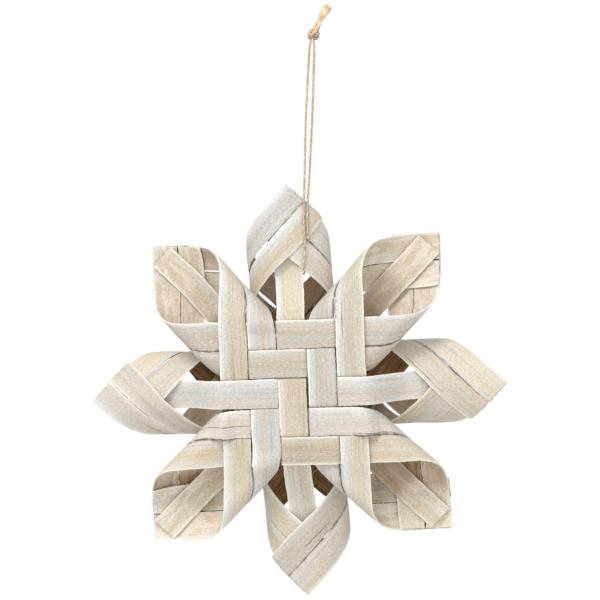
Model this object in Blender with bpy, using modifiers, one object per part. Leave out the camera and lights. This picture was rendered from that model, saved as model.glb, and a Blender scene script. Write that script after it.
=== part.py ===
# Woven wooden snowflake ornament, hung on a loop of string.
#
# Two equal halves stand back to back. Each half is a flat square weave of five upright and five
# level veneer strips. The two outer strips of each side roll backwards in pairs and cross behind
# themselves, which makes four square-tipped petals at the corners of the weave. The second half
# is turned by an eighth of a turn, and the middle strip of each side runs on into the petal of
# the other half, so the two halves hold each other.
#
# The front faces -Y and Z is up. The origin is inside the top of the string loop, under its knot.

import math

import bpy
import bmesh
import numpy as np
from mathutils import Vector

MM = 0.001
ROOT2 = math.sqrt(2)

# the veneer and its weave
STRIP_WIDTH = 16.0 * MM
STRIP_PITCH = 17.3 * MM
STRIP_THICKNESS = 0.8 * MM
STRIPS_EACH_WAY = 5
WEAVE_WAVE = 1.25 * MM         # a strip's mid-surface runs this far above or below the weave
WAVE_RUN = 3.4 * MM            # length over which a strip changes from over to under
WEAVE_EDGE = 2 * STRIP_PITCH + STRIP_WIDTH / 2
WAVE_FADE = 12.0 * MM          # length past the weave over which the wave dies out
WEAVE_HEIGHT = 22.4 * MM       # from the plane between the halves to the middle of each weave

# the petals: in section, flat in front, a close turn to the side, and a broad arch behind
HALF_GIRTH = 65.6 * MM         # round a petal, from its middle in front to its middle behind
PETAL_REACH = 25.2 * MM        # from a petal's axis to its side
TURN_WIDTH = 10.0 * MM         # the turn in front, across the petal
TURN_DEPTH = 12.0 * MM         # and from front to back
TIP_RISE = 7.0 * MM            # a tip stands this far through the plane between the halves
LAYER_STEP = 1.6 * MM          # between the mid-surfaces of strips that cross in a tip
FAR_SPREAD = 2.0 * MM          # an outer strip's cut end stands this far out from the far side
GUEST_PUSH = 3.5 * MM          # the other half's middle strip pushes the crossing out this far
PUSH_REACH = 20.0 * MM         # and this far to each side of the axis
PUSH_RUN = 50.0 * MM           # dying out towards the tip over this length
EDGE_LIFT = 3.4 * MM           # a second strip rides up over the edge strip before it turns down
EDGE_LIFT_RUN = 9.0 * MM
SECTION_STEPS = 60
FRONT_LINES = 7
BACK_LINE_SPACING = 4.6 * MM
END_LINES = 4
END_MARGIN = 1.0 * MM        # the last line along the petal stops this far from the cut end
EDGE_LINE = (0.3 * MM, 3.0 * MM)       # first line of an edge strip's roll, past the weave edge
SECOND_LINE = (-14.0 * MM, -3.0 * MM)  # and of a second strip's, on its near and far edge
TIP_ALONG = ROOT2 * WEAVE_EDGE + HALF_GIRTH
STRIP_END = WEAVE_EDGE + ROOT2 * HALF_GIRTH

# the middle strips, which slant from their weave into the other half's petals
SLANT_START_OVER = 41.5 * MM   # for a strip that leaves the weave in front of the edge strip
SLANT_START_UNDER = 32.0 * MM
SLANT_END = 68.6 * MM
MIDDLE_REACH = 117.0 * MM
MIDDLE_DROP = 2.6 * MM         # below the crossing, for a flat strip under an arch
SLANT_LINES = 9
TAIL_LINES = (85.0 * MM, 100.0 * MM, MIDDLE_REACH)

# how far each half is turned in its plane, seen from the front, and how far each handmade tip
# strays from its true place, as (x, z), listed for the corners of the half's own square
# upper right, upper left, lower left, lower right as seen from the side it faces
FRONT_TURN = math.radians(2.4)
BACK_TURN = math.radians(48.7)
FRONT_STRAY = ((0.3, 1.5), (3.2, 0.6), (-3.2, -2.2), (1.1, 0.8))
BACK_STRAY = ((2.7, 1.4), (-0.5, -4.0), (-1.4, -1.0), (0.9, 3.4))
# and how far its strips have slid out along each petal's axis, in each four the edge strip and
# the second strip from the petal's left, then those from its right
FRONT_SLIDE = ((0, 1.5, 0, 1.5),) * 4
BACK_SLIDE = ((0, 1.5, 2.5, 4.0), (4.5, 4.5, 0.8, 2.3), (3.2, 4.7, 0.3, 1.8), (3.0, 4.5, 0.3, 1.8))
STRAY_START = 52 * MM
STRAY_FULL = 100 * MM

# the string
STRING_RADIUS = 0.7 * MM
PINCHED = 0.5                  # share of its radius left where it is drawn between two strips
STRING_POINTS = 80
WRAP_TOP = -112 * MM           # below this the string bends round a strip, with closer points
WRAP_WEIGHT = 3.0
ROUTE_STEPS = 40               # places worked out between two of the route's points
HANG_POINT = Vector((9.1, -7.0, 204.3)) * MM   # from the middle of the ornament

UPPER_RIGHT, UPPER_LEFT, LOWER_LEFT, LOWER_RIGHT = range(4)


def clearScene():
    for thing in list(bpy.data.objects):
        bpy.data.objects.remove(thing, do_unlink=True)


def smooth(value):
    value = min(max(value, 0.0), 1.0)
    return value * value * (3 - 2 * value)


def makeMaterial(name, colour, roughness):
    material = bpy.data.materials.new(name)
    material.use_nodes = True
    shader = material.node_tree.nodes["Principled BSDF"]
    shader.inputs["Base Color"].default_value = (*colour, 1.0)
    shader.inputs["Roughness"].default_value = roughness
    shader.inputs["Metallic"].default_value = 0.0
    return material


class Half:
    # one half of the ornament, in its own frame: u right and v up as seen from the side that it
    # faces, and w out of the middle plane towards that side

    def __init__(self, name, facing, turn, stray, slides):
        self.name = name
        self.facing = facing
        self.turn = turn
        self.stray = stray
        self.slides = slides

    def toWorld(self, u, v, w, steer=0.0):
        x, y, z = u * self.facing, -w * self.facing, v
        cosine, sine = math.cos(self.turn + steer), math.sin(self.turn + steer)
        return Vector((x * cosine - z * sine, y, x * sine + z * cosine)) - HANG_POINT

    def petalAt(self, direction):
        # the petal of this half that points along a world direction (x, z)
        angles = []
        for corner in range(4):
            axis = cornerAxis(corner)
            there = self.toWorld(axis.x, axis.y, 0) - self.toWorld(0, 0, 0)
            angles.append(there.x * direction.x + there.z * direction.y)
        return angles.index(max(angles))

    def strayAt(self, corner, along):
        share = smooth((along - STRAY_START) / (STRAY_FULL - STRAY_START))
        x, z = self.stray[corner]
        return Vector((x, 0, z)) * MM * share


HALVES = (Half("front", 1, FRONT_TURN, FRONT_STRAY, FRONT_SLIDE),
          Half("back", -1, BACK_TURN, BACK_STRAY, BACK_SLIDE))


def cornerAxis(corner):
    angle = math.radians(45 + 90 * corner)
    return Vector((math.cos(angle), math.sin(angle)))


def cornerOf(vector):
    if vector.y > 0:
        return UPPER_RIGHT if vector.x > 0 else UPPER_LEFT
    return LOWER_RIGHT if vector.x > 0 else LOWER_LEFT


def uprightIsOver(column, row):
    # two over, two under, moving on by one strip from row to row
    return (column + row) % 4 < 2


def pushAt(offAxis, along):
    # how far the middle strip beneath lifts the crossing of a petal
    share = max(1 - (offAxis / PUSH_REACH) ** 2, 0) ** 2
    return GUEST_PUSH * share * min(max((TIP_ALONG - along) / PUSH_RUN, 0), 1)


def crossingRise(along, across):
    # the middle of a petal's crossing layers, measured through the plane between the halves
    arch = WEAVE_HEIGHT + TIP_RISE - TURN_DEPTH
    drop = arch * (1 - math.sqrt(1 - min(abs(across) / PETAL_REACH, 1) ** 2))
    return TIP_RISE + pushAt(abs(across), along) - drop


class Roll:
    # section of a petal along one strip, as distance from the axis and depth for each girth

    def __init__(self, handed):
        # strips that come from the petal's left side lie inside those from its right
        isInner = handed > 0
        depth = WEAVE_HEIGHT + TIP_RISE - handed * LAYER_STEP / 2
        flat = PETAL_REACH - TURN_WIDTH
        far = PETAL_REACH - LAYER_STEP if isInner else PETAL_REACH + FAR_SPREAD
        angle = np.linspace(0, math.pi / 2, SECTION_STEPS)
        across = np.concatenate([[0], flat + TURN_WIDTH * np.sin(angle),
                                 PETAL_REACH * np.cos(angle)[1:], -far * np.sin(angle)[1:]])
        arch = depth - TURN_DEPTH
        deep = np.concatenate([[0], TURN_DEPTH * (1 - np.cos(angle)),
                               TURN_DEPTH + arch * np.sin(angle)[1:],
                               TURN_DEPTH + arch * np.cos(angle)[1:]])
        steps = np.hypot(np.diff(across), np.diff(deep))
        girth = np.concatenate([[0], np.cumsum(steps)])
        # the few tenths by which the inner and outer girths differ are taken up in the arch
        middle = girth[2 * SECTION_STEPS - 1]
        turned = girth[SECTION_STEPS]
        stretch = (HALF_GIRTH - turned) / (middle - turned)
        self.girth = np.where(girth > turned, turned + (girth - turned) * stretch, girth)
        self.across = across
        self.deep = deep
        self.flatEnd = flat
        self.turnEnd = turned

    def at(self, girth):
        if girth <= self.flatEnd:
            return girth, 0.0
        return np.interp(girth, self.girth, self.across), np.interp(girth, self.girth, self.deep)


class Strip:
    # one veneer strip of a half; a station is the pair of places along the strip that a line of
    # the mesh joins, on its near and its far edge

    def __init__(self, half, upright, index):
        self.half = half
        self.upright = upright
        self.index = index
        self.along = Vector((0, 1)) if upright else Vector((1, 0))
        self.side = Vector((1, 0)) if upright else Vector((0, 1))
        self.offset = (index - 2) * STRIP_PITCH
        self.isMiddle = index == 2

    def isOver(self, crossing):
        # crossings count along the strip, from its lower or left end
        if self.upright:
            return uprightIsOver(self.index, STRIPS_EACH_WAY - 1 - crossing)
        return not uprightIsOver(crossing, STRIPS_EACH_WAY - 1 - self.index)

    def changes(self):
        # places where the strip changes from over to under, each with its levels before and after
        found = []
        for crossing in range(STRIPS_EACH_WAY - 1):
            before, after = self.isOver(crossing), self.isOver(crossing + 1)
            if before != after:
                found.append(((crossing - 1.5) * STRIP_PITCH, 1 if after else -1))
        return found

    def levelAt(self, place):
        level = 1 if self.isOver(0) else -1
        for middle, after in self.changes():
            share = smooth((place - middle) / WAVE_RUN + 0.5)
            level += (after - level) * share
        return level * WEAVE_WAVE

    def fadedLevel(self, place):
        # the wave dies out in the petal, and a second strip that leaves in front clears the edge
        beyond = abs(place) - WEAVE_EDGE
        level = self.levelAt(place) * (1 - smooth(beyond / WAVE_FADE))
        if level > 0 and abs(self.index - 2) == 1:
            share = min(abs(beyond) / EDGE_LIFT_RUN, 1.0)
            level += EDGE_LIFT * (1 - share ** 2) ** 2
        return level

    def petal(self, end):
        # the corner that this end rolls into, and 1 if it comes from the petal's left, else -1
        axis = self.along * end + self.side * math.copysign(1, self.offset)
        left = Vector((-axis.y, axis.x))
        return cornerOf(axis), math.copysign(1, left.dot(self.along * end))

    def slide(self, end):
        corner, handed = self.petal(end)
        return self.half.slides[corner][(0 if handed > 0 else 2) + abs(self.index - 2) % 2] * MM

    def cutEnd(self, end):
        # the end is cut along the outer edge of the strips that it crosses
        corner, handed = self.petal(end)
        crossed = self.half.slides[corner][2 if handed > 0 else 0] * MM
        return STRIP_END + (crossed - self.slide(end)) / ROOT2

    def stations(self):
        lines = [(0.0, 0.0)]
        for middle, after in self.changes():
            for share in (-0.5, -0.2, 0.2, 0.5):
                lines.append((middle + share * WAVE_RUN,) * 2)
        for end in (-1, 1):
            lines += self.middleStations(end) if self.isMiddle else self.petalStations(end)
        return sorted(lines, key=sum)

    def petalStations(self, end):
        roll = Roll(self.petal(end)[1])
        edges = [abs(self.offset) + side * STRIP_WIDTH / 2 for side in (-1, 1)]
        # a fan of lines between those square to the strip and those along the petal
        first = SECOND_LINE if abs(self.index - 2) == 1 else EDGE_LINE
        lines = [tuple(WEAVE_EDGE + place for place in first)]
        cut = self.cutEnd(end)
        last = (cut - edges[1]) / ROOT2 - END_MARGIN
        count = round((last - roll.turnEnd) / BACK_LINE_SPACING)
        girths = [*np.linspace(roll.flatEnd, roll.turnEnd, FRONT_LINES),
                  *np.linspace(roll.turnEnd, last, count + 1)[1:]]
        for girth in girths:
            lines.append(tuple(edge + girth * ROOT2 for edge in edges))
        # and back to square at the cut end
        before = lines[-1]
        for share in np.linspace(0, 1, END_LINES + 1)[1:]:
            lines.append(tuple(place + (cut - place) * share for place in before))
        return [tuple(end * place for place in line) for line in lines]

    def middleStations(self, end):
        start = self.slantStart(end)
        places = [*np.linspace(start, SLANT_END, SLANT_LINES), *TAIL_LINES]
        return [(end * place,) * 2 for place in places]

    def slantStart(self, end):
        return SLANT_START_OVER if self.levelAt(end * WEAVE_EDGE) > 0 else SLANT_START_UNDER

    def pointAt(self, across, place):
        # world place of the mid-surface, across the half from its middle line and along the strip
        end = math.copysign(1, place)
        if self.isMiddle:
            return self.middlePoint(across, place, end)
        corner, handed = self.petal(end)
        outward, distance = abs(across), abs(place)
        along = (outward + distance) / ROOT2
        girth = (distance - outward) / ROOT2
        reach, depth = Roll(handed).at(girth)
        axis = cornerAxis(corner)
        left = Vector((-axis.y, axis.x)) * handed
        slid = self.slide(end) * smooth(girth / HALF_GIRTH)
        flat = axis * (along + slid) + left * reach
        height = WEAVE_HEIGHT + self.fadedLevel(place) - depth
        if girth > HALF_GIRTH - PUSH_REACH:
            height -= pushAt(abs(reach), along)
        return self.half.toWorld(*flat, height) + self.half.strayAt(corner, along)

    def middlePoint(self, across, place, end):
        # the strip slants down to the petal of the other half and steers into line with its axis
        host = HALVES[0] if self.half is HALVES[1] else HALVES[1]
        begin, along = self.slantStart(end), abs(place)
        start = WEAVE_HEIGHT + self.levelAt(place)
        finish = crossingRise(max(along, SLANT_END), STRIP_WIDTH / 2) - MIDDLE_DROP
        height = start + (finish - start) * smooth((along - begin) / (SLANT_END - begin))
        eighth = math.pi / 4
        between = host.turn - self.half.turn
        steer = between - eighth * round(between / eighth)
        steer *= smooth((along - begin) / (STRAY_FULL - begin))
        flat = self.side * across + self.along * place
        ahead = self.half.toWorld(*(self.along * end), 0) - self.half.toWorld(0, 0, 0)
        corner = host.petalAt(Vector((ahead.x, ahead.z)))
        return self.half.toWorld(*flat, height, steer) + host.strayAt(corner, along)

    def build(self, name, material, collection):
        lines = self.stations()
        mesh = bpy.data.meshes.new(name)
        shape = bmesh.new()
        bmesh.ops.create_grid(shape, x_segments=1, y_segments=len(lines) - 1, size=1)
        for vertex in shape.verts:
            edge = 0 if (vertex.co.x < 0) == (self.offset > 0) else 1
            line = lines[round((vertex.co.y + 1) / 2 * (len(lines) - 1))]
            across = self.offset + math.copysign(STRIP_WIDTH / 2, vertex.co.x)
            vertex.co = self.pointAt(across, line[edge])
        shape.to_mesh(mesh)
        shape.free()
        strip = bpy.data.objects.new(name, mesh)
        strip.data.materials.append(material)
        collection.objects.link(strip)
        thickness = strip.modifiers.new("veneer thickness", "SOLIDIFY")
        thickness.thickness = STRIP_THICKNESS
        thickness.offset = 0
        thickness.use_even_offset = True
        return strip


def buildHalf(half, directions, woods, collection):
    for upright, direction in ((True, directions[0]), (False, directions[1])):
        for index in range(STRIPS_EACH_WAY):
            number = index + 1 if upright else STRIPS_EACH_WAY - index
            name = f"{half.name}_{direction}_strip_{number}"
            wood = makeMaterial(f"{name} wood", woods[(index + 2 * upright) % len(woods)], 0.75)
            Strip(half, upright, index).build(name, wood, collection)


def northPoint(along, across, height):
    # a place by the upper petal of the back half: out along its axis, to the right of it, and
    # forwards from the middle of its crossing layers, in millimetres
    half = HALVES[1]
    corner = half.petalAt(Vector((0, 1)))
    axis = cornerAxis(corner)
    right = Vector((-axis.y, axis.x))
    flat = axis * along * MM + right * across * MM
    rise = crossingRise(along * MM, across * MM) + height * MM
    return half.toWorld(*flat, -rise) + half.strayAt(corner, along * MM)


def stringRoute():
    # from the knot down the left strand, in front of the petal's lower left-leaning strip, round
    # behind it, out through the slit above it and up the right strand; each with its radius
    down = [Vector(place) * MM for place in ((-0.5, 0, 3.6), (-1.6, 0, 0.4), (-2.0, 0, -12),
                                             (-3.2, 0, -42), (-3.9, 0, -70))]
    up = [Vector(place) * MM for place in ((-1.3, 0, -72), (0.6, 0, -42), (1.6, 0, -12),
                                           (1.6, 0, 0.4), (0.9, 0, 3.6))]
    front = [northPoint(*place) for place in ((112, 12.3, 2.6), (104, 11.8, 2.5), (98, 11.6, 2.5),
                                              (90.6, 11.5, 2.9), (86.0, 11.0, 1.6), (80.8, 10.4, 1.3),
                                              (75.2, 9.7, 1.3))]
    turn = [northPoint(*place) for place in ((72.0, 9.6, 0.9), (70.7, 9.6, -0.2),
                                             (70.7, 9.7, -1.4), (72.0, 9.9, -2.4),
                                             (75.2, 10.2, -2.6))]
    behind = [northPoint(*place) for place in ((83.0, 11.6, -2.6), (88.9, 13.6, -2.7))]
    slit = [northPoint(*place) for place in ((91.9, 14.3, -2.5), (92.0, 14.3, -1.5),
                                             (92.0, 14.3, -0.8), (92.0, 14.3, 0.0),
                                             (92.2, 14.3, 0.8))]
    over = [northPoint(*place) for place in ((93.9, 14.3, 2.5), (96.1, 14.3, 3.1),
                                             (104, 13.7, 2.6), (112, 14.0, 2.7))]
    wide = STRING_RADIUS
    route = [(place, wide) for place in down + front + turn + behind]
    route += [(place, wide * PINCHED) for place in slit]
    return route + [(place, wide) for place in over + up]


def smoothRoute(route, count):
    # evenly spaced places on a smooth curve through the route's points
    places = np.array([[*place, radius] for place, radius in route])
    padded = np.vstack([2 * places[0] - places[1], places, 2 * places[-1] - places[-2]])
    fine = []
    for start in range(len(places) - 1):
        before, first, second, after = padded[start:start + 4]
        span = np.linalg.norm(second[:3] - first[:3])
        slopes = []
        for low, here, high in ((before, first, second), (first, second, after)):
            gap = np.linalg.norm(here[:3] - low[:3]) + np.linalg.norm(high[:3] - here[:3])
            slopes.append((high - low) / gap * span)
        for share in np.linspace(0, 1, ROUTE_STEPS, endpoint=start == len(places) - 2):
            cube, square = share ** 3, share ** 2
            fine.append((2 * cube - 3 * square + 1) * first + (cube - 2 * square + share) * slopes[0]
                        + (3 * square - 2 * cube) * second + (cube - square) * slopes[1])
    fine = np.array(fine)
    steps = np.linalg.norm(np.diff(fine[:, :3], axis=0), axis=1)
    # the curve is followed more closely where it bends round the strip
    weight = np.where(fine[1:, 2] < WRAP_TOP, WRAP_WEIGHT, 1.0)
    travelled = np.concatenate([[0], np.cumsum(steps * weight)])
    wanted = np.linspace(0, travelled[-1], count)
    return [np.array([np.interp(step, travelled, fine[:, axis]) for axis in range(4)])
            for step in wanted]


def makeCord(name, points, material, collection):
    curve = bpy.data.curves.new(name, "CURVE")
    curve.dimensions = "3D"
    curve.bevel_depth = 1.0
    curve.bevel_resolution = 2
    curve.use_fill_caps = True
    spline = curve.splines.new("POLY")
    spline.points.add(len(points) - 1)
    for target, point in zip(spline.points, points):
        target.co = (*point[:3], 1.0)
        target.radius = point[3]
    cord = bpy.data.objects.new(name, curve)
    cord.data.materials.append(material)
    collection.objects.link(cord)
    return cord


def buildString(collection):
    jute = makeMaterial("twisted jute", (0.42, 0.32, 0.2), 0.9)
    makeCord("string_loop", smoothRoute(stringRoute(), STRING_POINTS), jute, collection)
    # the overhand knot, and the two cut ends above it that fray into a brush
    profile = ((0.3, 4.3, 1.0), (0.6, 5.0, 2.3), (1.0, 6.3, 3.1), (1.6, 8.0, 3.4),
               (2.2, 9.7, 3.0), (2.7, 11.0, 2.0), (3.4, 12.3, 1.4), (4.6, 14.4, 1.5),
               (6.4, 17.2, 1.8), (8.6, 20.5, 2.3), (10.9, 24.0, 2.1))
    points = [np.array([x * MM, 0, z * MM, radius * MM]) for x, z, radius in profile]
    makeCord("string_knot", points, makeMaterial("knotted jute", (0.42, 0.32, 0.2), 0.9),
             collection)


def main():
    clearScene()
    ornament = bpy.data.collections.new("wooden snowflake ornament")
    bpy.context.scene.collection.children.link(ornament)
    woods = ((0.72, 0.66, 0.58), (0.76, 0.7, 0.61), (0.7, 0.61, 0.5), (0.78, 0.75, 0.71))
    buildHalf(HALVES[0], ("upright", "level"), woods, ornament)
    buildHalf(HALVES[1], ("falling", "rising"), woods, ornament)
    buildString(ornament)


main()
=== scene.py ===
import math

import bmesh
import bpy
import numpy as np
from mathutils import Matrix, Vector


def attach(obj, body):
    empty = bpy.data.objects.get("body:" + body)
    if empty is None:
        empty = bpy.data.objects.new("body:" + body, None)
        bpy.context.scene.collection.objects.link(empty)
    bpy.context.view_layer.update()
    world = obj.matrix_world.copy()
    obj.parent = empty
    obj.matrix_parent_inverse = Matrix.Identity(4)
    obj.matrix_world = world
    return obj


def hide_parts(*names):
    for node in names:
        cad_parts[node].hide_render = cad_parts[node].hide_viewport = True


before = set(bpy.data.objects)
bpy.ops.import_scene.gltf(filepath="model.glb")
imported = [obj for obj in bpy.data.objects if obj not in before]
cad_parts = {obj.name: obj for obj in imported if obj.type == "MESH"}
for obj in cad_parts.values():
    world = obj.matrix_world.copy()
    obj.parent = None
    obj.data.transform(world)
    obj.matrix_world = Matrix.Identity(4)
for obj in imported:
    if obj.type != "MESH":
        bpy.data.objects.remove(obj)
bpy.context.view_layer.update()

# Woven veneer snowflake on a jute string. The front faces -Y, Z is up, and the origin is in the
# top of the string loop. Shapes are worked out in millimetres and built in metres.
mm = 0.001
root2 = math.sqrt(2)

# the weave and the petals have the same sizes as the CAD solids
weave = {
    "width": 16.0,     # of a strip
    "pitch": 17.3,     # from strip to strip
    "thickness": 0.8,  # of the veneer
    "strips": 5,       # each way
    "wave": 1.25,      # a strip runs this far above or below the weave
    "waveRun": 3.4,    # and changes from over to under in this length
    "waveFade": 12.0,  # the wave dies out over this length past the weave
    "height": 22.4,    # from the plane between the halves to the weave
}
petal = {
    "halfGirth": 65.6,   # round a petal, from its middle in front to its middle behind
    "reach": 25.2,       # from its axis to its side
    "turnWidth": 10.0,   # the close turn in front, across the petal
    "turnDepth": 12.0,   # and from front to back
    "tipRise": 7.0,      # a tip stands this far through the plane between the halves
    "layerStep": 1.6,    # between strips that cross in a tip
    "farSpread": 2.0,    # an outer strip's cut end stands out this far
    "push": 3.5,         # the other half's middle strip lifts the crossing this much
    "pushReach": 20.0,   # up to this far from the petal's axis
    "pushRun": 50.0,     # and less over this length towards the tip
    "edgeLift": 3.4,     # a second strip rides up over the edge strip
    "edgeLiftRun": 9.0,  # in this length either side of it
    "strayStart": 52.0,  # a petal leaves its true direction from here
    "strayFull": 100.0,  # to here along it
    "sectionSteps": 60,  # points in each quarter of its section
}
middleStrip = {
    "startOver": 41.5,   # where it begins to slant, if it leaves in front of the edge strip
    "startUnder": 32.0,  # and if it leaves behind it
    "slantEnd": 68.6,
    "reach": 117.0,      # from the ornament's middle to its cut end
    "drop": 2.6,         # it lies this far below the petal's crossing
}
halves = {
    # which way each petal points, right and up; how far each one strays, right and up in mm; how
    # far its strips are slid out, edge and second strip from its left, then from its right; and a
    # strip's width at its low end, middle and high end
    "front": {"facing": 1, "turn": math.radians(2.4),
              "petals": {"north-east": (1, 1), "north-west": (-1, 1), "south-west": (-1, -1),
                         "south-east": (1, -1)},
              "strays": ((0.3, 1.5), (3.2, 0.6), (-3.2, -2.2), (1.1, 0.8)),
              "slides": ((0, 1.5, 0, 1.5),) * 4, "width": (16.3, 16.3, 16.3)},
    "back": {"facing": -1, "turn": math.radians(48.7),
             "petals": {"north": (0, 1), "east": (1, 0), "south": (0, -1), "west": (-1, 0)},
             "strays": ((2.7, 1.4), (-0.5, -4), (-1.4, -1), (0.9, 3.4)),
             "slides": ((0, 1.5, 2.5, 4), (4.5, 4.5, 0.8, 2.3), (3.2, 4.7, 0.3, 1.8),
                        (3, 4.5, 0.3, 1.8)), "width": (16.1, 16.6, 16.1)},
}
hangPoint = np.array([9.1, -7.0, 204.3])     # from the ornament's middle
middleIndex = weave["strips"] // 2
weaveEdge = middleIndex * weave["pitch"] + weave["width"] / 2
pairLine = (middleIndex - 0.5) * weave["pitch"]      # between the two strips of a pair
tipAlong = root2 * weaveEdge + petal["halfGirth"]
stripEnd = weaveEdge + root2 * petal["halfGirth"]


def smooth(value):
    value = np.clip(value, 0.0, 1.0)
    return value * value * (3 - 2 * value)


def ramp(value, start, run):
    return smooth((value - start) / run)


def toWorld(half, u, v, w, steer=0.0):
    # u right, v up, w outwards, as seen from the side that the half faces
    x, y, z = u * half["facing"], -w * half["facing"], v
    cosine, sine = np.cos(half["turn"] + steer), np.sin(half["turn"] + steer)
    place = np.stack([x * cosine - z * sine, y + 0 * x, x * sine + z * cosine], axis=-1)
    return place - hangPoint


def cornerAxis(corner):
    angle = math.radians(45 + 90 * corner)
    return math.cos(angle), math.sin(angle)


def worldAhead(half, u, v):
    # the world direction (x, z) of a direction in a half
    there = toWorld(half, np.float64(u), np.float64(v), 0.0) + hangPoint
    return there[0], there[2]


def petalAt(half, direction):
    # the corner whose petal points along a world direction
    return max(range(4), key=lambda corner: np.dot(worldAhead(half, *cornerAxis(corner)), direction))


def strayAt(half, corner, along):
    share = ramp(along, petal["strayStart"], petal["strayFull"] - petal["strayStart"])
    x, z = half["strays"][corner]
    return share[..., None] * np.array((x, 0, z))


def pushAt(offAxis, along):
    share = np.clip(1 - (offAxis / petal["pushReach"]) ** 2, 0, None) ** 2
    return petal["push"] * share * np.clip((tipAlong - along) / petal["pushRun"], 0, 1)


def crossingRise(along, across):
    arch = weave["height"] + petal["tipRise"] - petal["turnDepth"]
    drop = arch * (1 - np.sqrt(1 - np.clip(np.abs(across) / petal["reach"], 0, 1) ** 2))
    return petal["tipRise"] + pushAt(np.abs(across), along) - drop


def rollAt(handed, girth):
    # how far from the petal's axis and how deep each girth along a strip lies; strips from the
    # petal's left lie inside those from its right
    reach, turnDepth, steps = petal["reach"], petal["turnDepth"], petal["sectionSteps"]
    flat = reach - petal["turnWidth"]
    far = reach - petal["layerStep"] if handed > 0 else reach + petal["farSpread"]
    arch = weave["height"] + petal["tipRise"] - handed * petal["layerStep"] / 2 - turnDepth
    angle = np.linspace(0, math.pi / 2, steps)
    sine, cosine = np.sin(angle), np.cos(angle)
    across = np.concatenate([[0], flat + petal["turnWidth"] * sine, reach * cosine[1:], -far * sine[1:]])
    deep = np.concatenate([[0], turnDepth * (1 - cosine), turnDepth + arch * sine[1:],
                           turnDepth + arch * cosine[1:]])
    known = np.concatenate([[0], np.cumsum(np.hypot(np.diff(across), np.diff(deep)))])
    middle, turned = known[2 * steps - 1], known[steps]
    stretch = (petal["halfGirth"] - turned) / (middle - turned)
    known = np.where(known > turned, turned + (known - turned) * stretch, known)
    return (np.where(girth <= flat, girth, np.interp(girth, known, across)),
            np.interp(girth, known, deep))


def isOver(strip, crossing):
    last = weave["strips"] - 1
    if strip["upright"]:
        return (strip["index"] + last - crossing) % 4 < 2      # two over, two under
    return (crossing + last - strip["index"]) % 4 >= 2


def levelAt(strip, place):
    signs = [1.0 if isOver(strip, crossing) else -1.0 for crossing in range(weave["strips"])]
    level = np.full_like(place, signs[0])
    for crossing, (before, after) in enumerate(zip(signs, signs[1:])):
        change = (crossing + 0.5 - middleIndex) * weave["pitch"]
        level += (after - before) * smooth((place - change) / weave["waveRun"] + 0.5)
    return level * weave["wave"]


def fadedLevel(strip, place):
    beyond = np.abs(place) - weaveEdge
    level = levelAt(strip, place) * (1 - smooth(beyond / weave["waveFade"]))
    if strip["second"]:
        share = np.clip(np.abs(beyond) / petal["edgeLiftRun"], 0, 1)
        level += np.where(level > 0, petal["edgeLift"] * (1 - share ** 2) ** 2, 0)
    return level


def petalEnd(strip, end):
    # which petal this end rolls into, and 1 if it comes from its left, else -1; how far it is slid
    # out; where it is cut, along the outer edge of the strips that it crosses; and how much the
    # slides close its pair's slit
    corner = (strip["outer"], end) if strip["upright"] else (end, strip["outer"])
    corner = ((1, 1), (-1, 1), (-1, -1), (1, -1)).index(corner)
    handed = strip["outer"] * end * (1 if strip["upright"] else -1)
    slides = halves[strip["half"]]["slides"][corner]
    own, crossed = (slides[:2], slides[2:]) if handed > 0 else (slides[2:], slides[:2])
    slide = own[strip["second"]]
    cut = middleStrip["reach"] if strip["middle"] else stripEnd + (crossed[0] - slide) / root2
    return {"corner": corner, "handed": handed, "slide": slide, "cut": cut,
            "closing": (own[1] - own[0]) / root2}


def onEnd(place, end):
    return place >= 0 if end > 0 else place < 0


def rolledPlace(strip, across, place):
    # a strip of the two outer pairs, which rolls into a petal at each end
    half = halves[strip["half"]]
    result = np.zeros((*place.shape, 3))
    outward, distance = np.abs(across), np.abs(place)
    along, girth = (outward + distance) / root2, (distance - outward) / root2
    near = girth > petal["halfGirth"] - petal["pushReach"]
    for end, petalHere in strip["ends"].items():
        corner, handed = petalHere["corner"], petalHere["handed"]
        reach, depth = rollAt(handed, girth)
        axis = cornerAxis(corner)
        left = (-axis[1] * handed, axis[0] * handed)
        height = weave["height"] + fadedLevel(strip, place) - depth
        height = height - np.where(near, pushAt(np.abs(reach), along), 0)
        out = along + petalHere["slide"] * smooth(girth / petal["halfGirth"])
        u, v = axis[0] * out + left[0] * reach, axis[1] * out + left[1] * reach
        there = toWorld(half, u, v, height) + strayAt(half, corner, along)
        result = np.where(onEnd(place, end)[..., None], there, result)
    return result


def middlePlace(strip, across, place):
    # the middle strip of each side slants into a petal of the other half
    half, host = halves[strip["half"]], halves["back" if strip["half"] == "front" else "front"]
    result = np.zeros((*place.shape, 3))
    distance = np.abs(place)
    level = weave["height"] + levelAt(strip, place)
    sunk = crossingRise(np.maximum(distance, middleStrip["slantEnd"]), weave["width"] / 2)
    sunk = sunk - middleStrip["drop"]
    between, eighth = host["turn"] - half["turn"], math.pi / 4
    off = between - eighth * round(between / eighth)
    u, v = (across, place) if strip["upright"] else (place, across)
    for end in (-1, 1):
        leaves = levelAt(strip, np.array([end * weaveEdge]))[0]
        begin = middleStrip["startOver"] if leaves > 0 else middleStrip["startUnder"]
        height = level + (sunk - level) * ramp(distance, begin, middleStrip["slantEnd"] - begin)
        steer = off * ramp(distance, begin, petal["strayFull"] - begin)
        ahead = worldAhead(half, *((0.0, end) if strip["upright"] else (end, 0.0)))
        there = toWorld(half, u, v, height, steer) + strayAt(host, petalAt(host, ahead), distance)
        result = np.where(onEnd(place, end)[..., None], there, result)
    return result


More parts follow.
